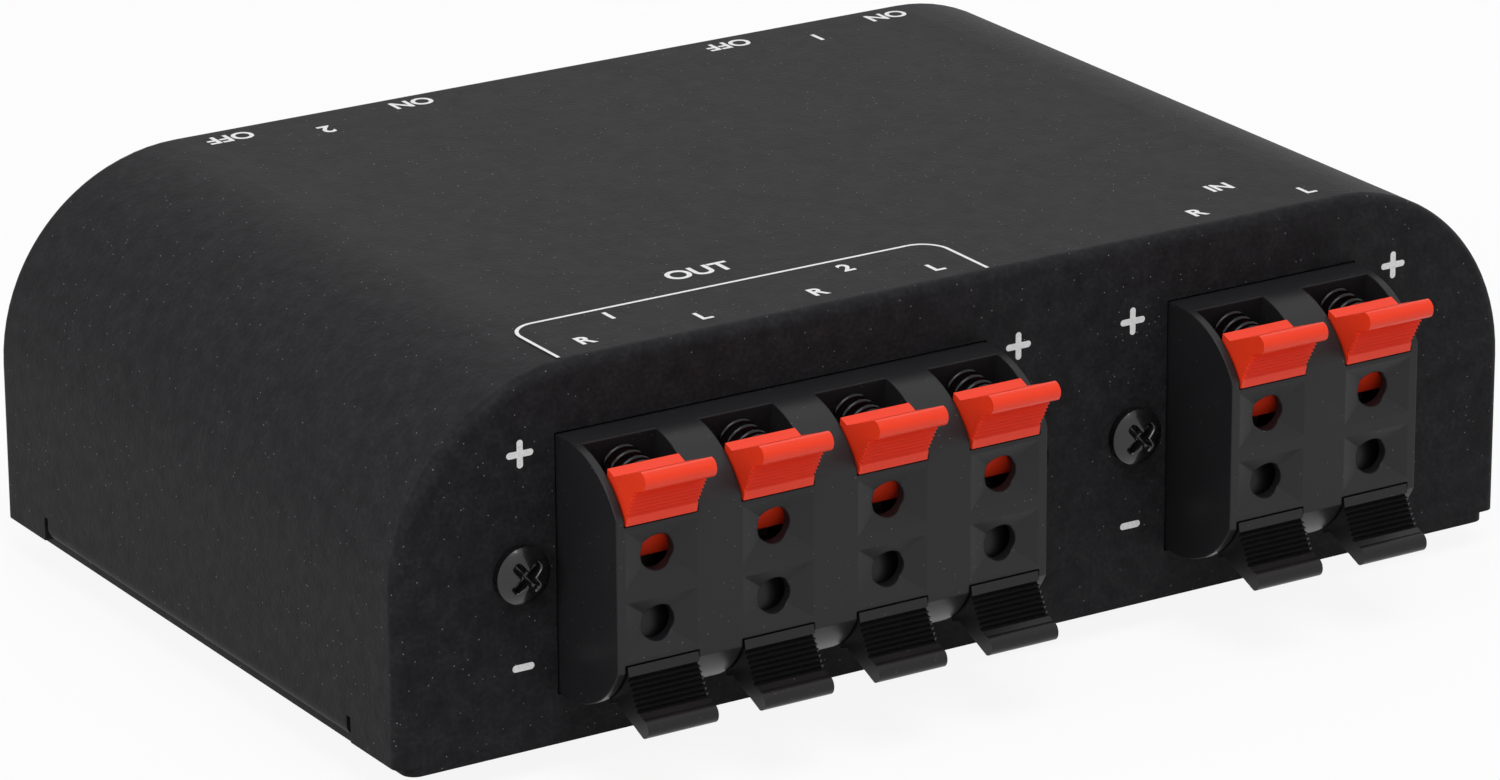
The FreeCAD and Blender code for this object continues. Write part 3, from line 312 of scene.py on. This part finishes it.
for number, x in enumerate((53.3, -5.5, -19.7, -53.1), start=1):
    printed_sign(f"plus_sign_{number}", x, 34.4, [(3.05, 0.7), (0.7, 2.97)])
    printed_sign(f"minus_sign_{number}", x, 12.0, [(2.5, 0.75)])


# Terminal blocks
# Injection-moulded ABS, black and satin, with a bright line where its edges turn. Fine dust and
# the mould's spark-eroded texture break up the shine. The boards behind are brown fibre.


def moulded(name, base, roughness, texture, fleck_share, rim, gloss=0.3):
    """Moulded plastic: a texture of 0.3 mm grains, flow marks of 8 mm, and edges rounded by rim."""
    plastic = new_material(name)
    where = add(plastic, "TexCoord").outputs["Object"]
    grains = add(plastic, "TexNoise", {"Vector": where, "Scale": 1 / (0.3 * MM), "Detail": 2.0})
    flow = add(plastic, "TexNoise", {"Vector": where, "Scale": 1 / (8 * MM), "Detail": 3.0})
    dots = speckle(plastic, where, 0.9 * MM, 0.12 * MM)
    share = add(plastic, "Math", {0: dots, 1: fleck_share}, operation="MULTIPLY")
    tone = add(
        plastic,
        "Mix",
        {0: share.outputs[0], 6: colour(base), 7: colour("#c9c9cb")},
        data_type="RGBA",
    )
    sheen = {"To Min": roughness * 0.85, "To Max": roughness * 1.2}
    rough = add(plastic, "MapRange", {"Value": flow.outputs["Fac"], **sheen})
    edges = add(plastic, "Bevel", {"Radius": rim}, samples=4)
    skin = add(
        plastic,
        "Bump",
        {
            "Height": grains.outputs["Fac"],
            "Strength": texture,
            "Distance": 0.03 * MM,
            "Normal": edges.outputs[0],
        },
    )
    return finish_surface(
        plastic,
        Base_Color=tone.outputs[2],
        Roughness=rough.outputs[0],
        Specular_IOR_Level=gloss,
        Normal=skin.outputs[0],
    )


block_plastic = moulded("black_abs", "#1d1d1f", 0.38, 0.3, 0.35, 0.25 * MM, gloss=0.28)
board_fibre = moulded("brown_fibre_board", "#5d3d24", 0.7, 0.6, 0.1, 0.05 * MM)
for block in ("output", "input"):
    dress(f"{block}_terminal_housing", block_plastic)
    dress(f"{block}_back_board", board_fibre)


# Levers
# Polypropylene, moulded glossy: orange-red for the positive wires above, black for the negative
# wires below.

red_plastic = moulded("red_polypropylene", "#ee3a1a", 0.36, 0.12, 0.0, 0.03 * MM)
black_plastic = moulded("black_polypropylene", "#121214", 0.3, 0.15, 0.2, 0.03 * MM)
terminals = [("output", number) for number in (1, 2, 3, 4)] + [("input", 1), ("input", 2)]
for block, number in terminals:
    dress(f"{block}_{number}_positive_lever", red_plastic)
    dress(f"{block}_{number}_negative_lever", black_plastic)


# Springs
# Blackened music wire of 0.5 mm, wound with closed ends, pressed between the slanted seat in its
# bay and the back of its lever.


def plated(name, base, roughness, metallic, coat=0.0):
    """Plated or blackened metal: drawing marks of 0.4 mm in its shine."""
    metal = new_material(name)
    where = add(metal, "TexCoord").outputs["Object"]
    marks = add(metal, "TexNoise", {"Vector": where, "Scale": 1 / (0.4 * MM), "Detail": 4.0})
    shine = {"To Min": roughness * 0.7, "To Max": roughness * 1.4}
    rough = add(metal, "MapRange", {"Value": marks.outputs["Fac"], **shine})
    worn = add(metal, "Bump", {"Height": marks.outputs["Fac"], "Strength": 0.15, "Distance": 0.02 * MM})
    return finish_surface(
        metal,
        Base_Color=colour(base),
        Metallic=metallic,
        Roughness=rough.outputs[0],
        Coat_Weight=coat,
        Normal=worn.outputs[0],
    )


spring_wire = plated("blackened_spring_wire", "#2c2c2e", 0.22, 0.9)
SPRING = {"radius": 2.35, "wire_radius": 0.25, "length": 4.7, "turns": 4, "tilt": math.radians(8)}
SPRING_END_GAP = 0.1
TURN_POINTS = 24
WIRE_POINTS = 10


def coil(seat, axis, side):
    """Wire swept along a helix: at turn t the centre is R(cos t, sin t) across the axis and rises
    evenly, except in the first and last half turn, which lie flat."""
    turn = np.linspace(0, SPRING["turns"], TURN_POINTS * SPRING["turns"] + 1)
    low = SPRING["wire_radius"] + SPRING_END_GAP
    rise = np.clip((turn - 0.5) / (SPRING["turns"] - 1), 0, 1)
    along = low + rise * (SPRING["length"] - 2 * low)
    angle = 2 * math.pi * turn
    across = np.cross(axis, side)
    outward = np.cos(angle)[:, None] * side + np.sin(angle)[:, None] * across
    centre = seat + SPRING["radius"] * outward + along[:, None] * axis
    round_wire = np.linspace(0, 2 * math.pi, WIRE_POINTS, endpoint=False)
    ring = np.cos(round_wire)[None, :, None] * outward[:, None, :]
    ring = ring + np.sin(round_wire)[None, :, None] * axis
    return (centre[:, None, :] + SPRING["wire_radius"] * ring) * MM


for block, number in terminals:
    for pole, row in (("positive", 1), ("negative", -1)):
        name = f"{block}_{number}_{pole}"
        low, high = (np.array(corner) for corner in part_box(name + "_spring"))
        tilt = SPRING["tilt"]
        axis = np.array([0, math.cos(tilt), -row * math.sin(tilt)])
        seat = (low + high) / 2 / MM - axis * SPRING["length"] / 2
        rings = coil(seat, axis, np.array([1.0, 0.0, 0.0]))
        faces = grid_faces(*rings.shape[:2], wrap=True)
        last_ring = (rings.shape[0] - 1) * WIRE_POINTS
        faces += [list(range(WIRE_POINTS))[::-1], [last_ring + k for k in range(WIRE_POINTS)]]
        spring = new_piece(name + "_coil", rings, [face[::-1] for face in faces], spring_wire)
        spring.data.shade_smooth()
        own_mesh(spring)
        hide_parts(name + "_spring")


# Screws
# Black-oxide steel pan heads with a cross recess. The heads are glossy with oil, and their
# recesses hold the deepest black.

PANEL_HEAD_RADIUS = 3.0
BASE_HEAD_RADIUS = 2.5
FIRST_SCREW_TURN = 0.2  # radians
NEXT_SCREW_TURN = 0.5
screw_steel = plated("black_oxide_steel", "#151517", 0.25, 0.4, coat=0.5)


def pan_head(radius, side, rise, arm, depth, shank, length):
    """Domed disc on a polar grid, less a cross recess: two crossed bars whose depth falls off
    towards the rim. Rings of its straight side, its underside and its shank follow."""
    out = np.linspace(0.02, 1, 44)[:, None]
    turn = np.linspace(0, 2 * math.pi, 144, endpoint=False)[None, :]
    across, up = radius * out * np.cos(turn), radius * out * np.sin(turn)

    def bar(along, beside):
        body = 1 / (1 + np.exp((np.abs(beside) - arm * 0.22) * 26 / arm))
        end = 1 / (1 + np.exp((np.abs(along) - arm) * 20 / arm))
        return body * end

    recess = np.maximum(bar(across, up), bar(up, across)) * depth * (1 - 0.4 * out)
    dome = side + rise * (1 - out**2.4)
    face = np.stack([across, up, dome - recess], -1)
    rings = [face[-1:] * (r, r, 0) + (0, 0, z) for r, z in (
        (1, 0), (shank / radius, 0), (shank / radius, -length), (0.02, -length)
    )]
    return np.concatenate([face, *rings])


def place_screws(name, screw, outward, points, replaced, metal):
    """Copies of a screw, each turned a little further about its axis and set along outward."""
    outward, side = np.array(outward, float), np.array([1.0, 0.0, 0.0])
    basis = np.stack([side, np.cross(outward, side), outward])
    rows, columns = screw.shape[:2]
    quads = np.array(grid_faces(rows, columns, wrap=True))
    caps = [list(range(columns))[::-1], [(rows - 1) * columns + k for k in range(columns)]]
    every, faces = [], []
    for index, point in enumerate(points):
        angle = FIRST_SCREW_TURN + NEXT_SCREW_TURN * index
        cosine, sine = math.cos(angle), math.sin(angle)
        spin = np.array([[cosine, sine, 0], [-sine, cosine, 0], [0, 0, 1]])
        every.append((screw @ spin @ basis).reshape(-1, 3) + point)
        start = index * rows * columns
        faces += (quads + start).tolist() + [[k + start for k in cap] for cap in caps]
    piece = new_piece(name, np.concatenate(every) * MM, faces, metal)
    piece.data.shade_smooth()
    piece.data.set_sharp_from_angle(angle=math.radians(40))
    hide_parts(replaced)


panel_screw = pan_head(
    PANEL_HEAD_RADIUS, side=0.9, rise=1.1, arm=1.75, depth=1.3, shank=1.5, length=8
)
for block in ("output", "input"):
    solids = f"{block}_terminal_screws"
    low, high = (np.array(corner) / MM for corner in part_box(solids))
    ends = (low[0] + PANEL_HEAD_RADIUS, high[0] - PANEL_HEAD_RADIUS)
    points = [[x, rear / MM, (low[2] + high[2]) / 2] for x in ends]
    name = f"{block}_pan_heads"
    place_screws(name, panel_screw, (0, 1, 0), points, solids, screw_steel)


# Nuts, base screws, tags and contacts
# Zinc-plated steel nuts and screws, and tinned brass strips and tags.

zinc = plated("zinc_plated_steel", "#a9abad", 0.3, 1.0)
tinned = plated("tinned_brass", "#b8b3a4", 0.35, 1.0)
brass = plated("switch_brass", "#b8964f", 0.3, 1.0)
base_screw = pan_head(
    BASE_HEAD_RADIUS, side=0.5, rise=1.1, arm=1.4, depth=1.0, shank=1.5, length=6
)
low, high = (np.array(corner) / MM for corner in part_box("base_screws"))
plate_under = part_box("base_plate")[0][2] / MM
columns_of_screws = (low[0] + BASE_HEAD_RADIUS, high[0] - BASE_HEAD_RADIUS)
rows_of_screws = (low[1] + BASE_HEAD_RADIUS, high[1] - BASE_HEAD_RADIUS)
points = [[x, y, plate_under] for x in columns_of_screws for y in rows_of_screws]
place_screws("base_pan_heads", base_screw, (0, 0, -1), points, "base_screws", zinc)
for block in ("output", "input"):
    dress(f"{block}_terminal_nuts", zinc)
    dress(f"{block}_contacts", tinned)
dress("negative_bus_wire", tinned)


# Wires
# PVC-insulated hook-up wire, red, soldered to the tags inside the case.

dress("positive_wires", moulded("red_pvc", "#a3201a", 0.45, 0.2, 0.0, 0.02 * MM))


# Rocker switches
# Snap-in switches: satin nylon bodies and bezels, and glossier rockers.

switch_nylon = moulded("black_nylon", "#18191b", 0.42, 0.3, 0.1, 0.15 * MM)
rocker_plastic = moulded("glossy_black_rocker", "#101012", 0.2, 0.08, 0.0, 0.3 * MM)
for number in (1, 2):
    dress(f"switch_{number}_housing", switch_nylon)
    dress(f"switch_{number}_rocker", rocker_plastic)
    dress(f"switch_{number}_plungers", switch_nylon)
    dress(f"switch_{number}_contact_bars", brass)
    dress(f"switch_{number}_tags", brass)


# Floor, light and camera
# A plain white floor under soft boxes, seen as white by the camera and by glossy surfaces, with
# the object's shadow left in.


def rays_that_see_white(material):
    """1 for rays from the camera and off or through glossy and clear surfaces, 0 for the rest."""
    rays = add(material, "LightPath").outputs
    seen = {0: rays["Is Camera Ray"], 1: rays["Is Glossy Ray"]}
    either = add(material, "Math", seen, operation="MAXIMUM").outputs[0]
    clear = {0: either, 1: rays["Is Transmission Ray"]}
    return add(material, "Math", clear, operation="MAXIMUM").outputs[0]


floor_paint = new_material("white_floor")
paper = add(floor_paint, "BsdfDiffuse", {"Color": colour("#f0f0f0")})
glow = add(floor_paint, "Emission", {"Color": (1, 1, 1, 1), "Strength": 1.0})
seen = {0: rays_that_see_white(floor_paint), 1: 0.9}
share = add(floor_paint, "Math", seen, operation="MULTIPLY")
both = add(floor_paint, "MixShader", {0: share.outputs[0], 1: paper.outputs[0], 2: glow.outputs[0]})
add(floor_paint, "OutputMaterial", {"Surface": both.outputs[0]})
floor_mesh = bpy.data.meshes.new("floor")
floor_mesh.from_pydata([(-6, -6, 0), (6, -6, 0), (6, 6, 0), (-6, 6, 0)], [], [(0, 1, 2, 3)])
floor_mesh.materials.append(floor_paint)
floor = bpy.data.objects.new("floor", floor_mesh)
bpy.context.scene.collection.objects.link(floor)

world = bpy.data.worlds.new("studio")
bpy.context.scene.world = world
world.use_nodes = True
world.node_tree.nodes.clear()
sight = rays_that_see_white(world)
bright = add(world, "MapRange", {"Value": sight, "To Min": 0.4, "To Max": 1.0})
sky = add(world, "Background", {"Color": (1, 1, 1, 1), "Strength": bright.outputs[0]})
add(world, "OutputWorld", {"Surface": sky.outputs[0]})


def soft_box(name, place, size, power):
    """A square lamp in metres that faces the object."""
    lamp = bpy.data.lights.new(name, "AREA")
    lamp.size = size
    lamp.energy = power
    light = bpy.data.objects.new(name, lamp)
    light.location = place
    bpy.context.scene.collection.objects.link(light)
    aim = Vector(place) * -1
    light.rotation_euler = aim.to_track_quat("-Z", "Y").to_euler()


soft_box("key_light", (0.15, 0.55, 1.3), 0.8, 10)
soft_box("side_light", (1.2, 0.3, 0.6), 0.7, 4)
soft_box("far_light", (-0.6, -1.0, 1.2), 0.7, 1.5)

azimuth, elevation, roll = np.radians([147.976, 19.577, -0.331])
FOCAL_PIXELS, PICTURE_WIDTH, FOOT_HEIGHT = 6961.31, 1500, 3.0
level = np.array([math.cos(azimuth), math.sin(azimuth), 0])
away = np.array([math.sin(azimuth), -math.cos(azimuth), 0])
back = math.cos(elevation) * away + np.array([0, 0, math.sin(elevation)])
upright = np.cross(back, level)
right = math.cos(roll) * level + math.sin(roll) * upright
upward = math.cos(roll) * upright - math.sin(roll) * level
lens = bpy.data.cameras.new("camera")
lens.sensor_width = 36
lens.lens = FOCAL_PIXELS * 36 / PICTURE_WIDTH
lens.clip_start = 0.01
camera = bpy.data.objects.new("camera", lens)
pose = np.eye(4)
pose[:3, :3] = np.stack([right, upward, back], -1)
pose[:3, 3] = np.array([372.466, case_middle + 595.598, 264.746 + FOOT_HEIGHT]) * MM
camera.matrix_world = Matrix(pose.tolist())
bpy.context.scene.collection.objects.link(camera)
bpy.context.scene.camera = camera
bpy.context.scene.view_settings.view_transform = "Standard"
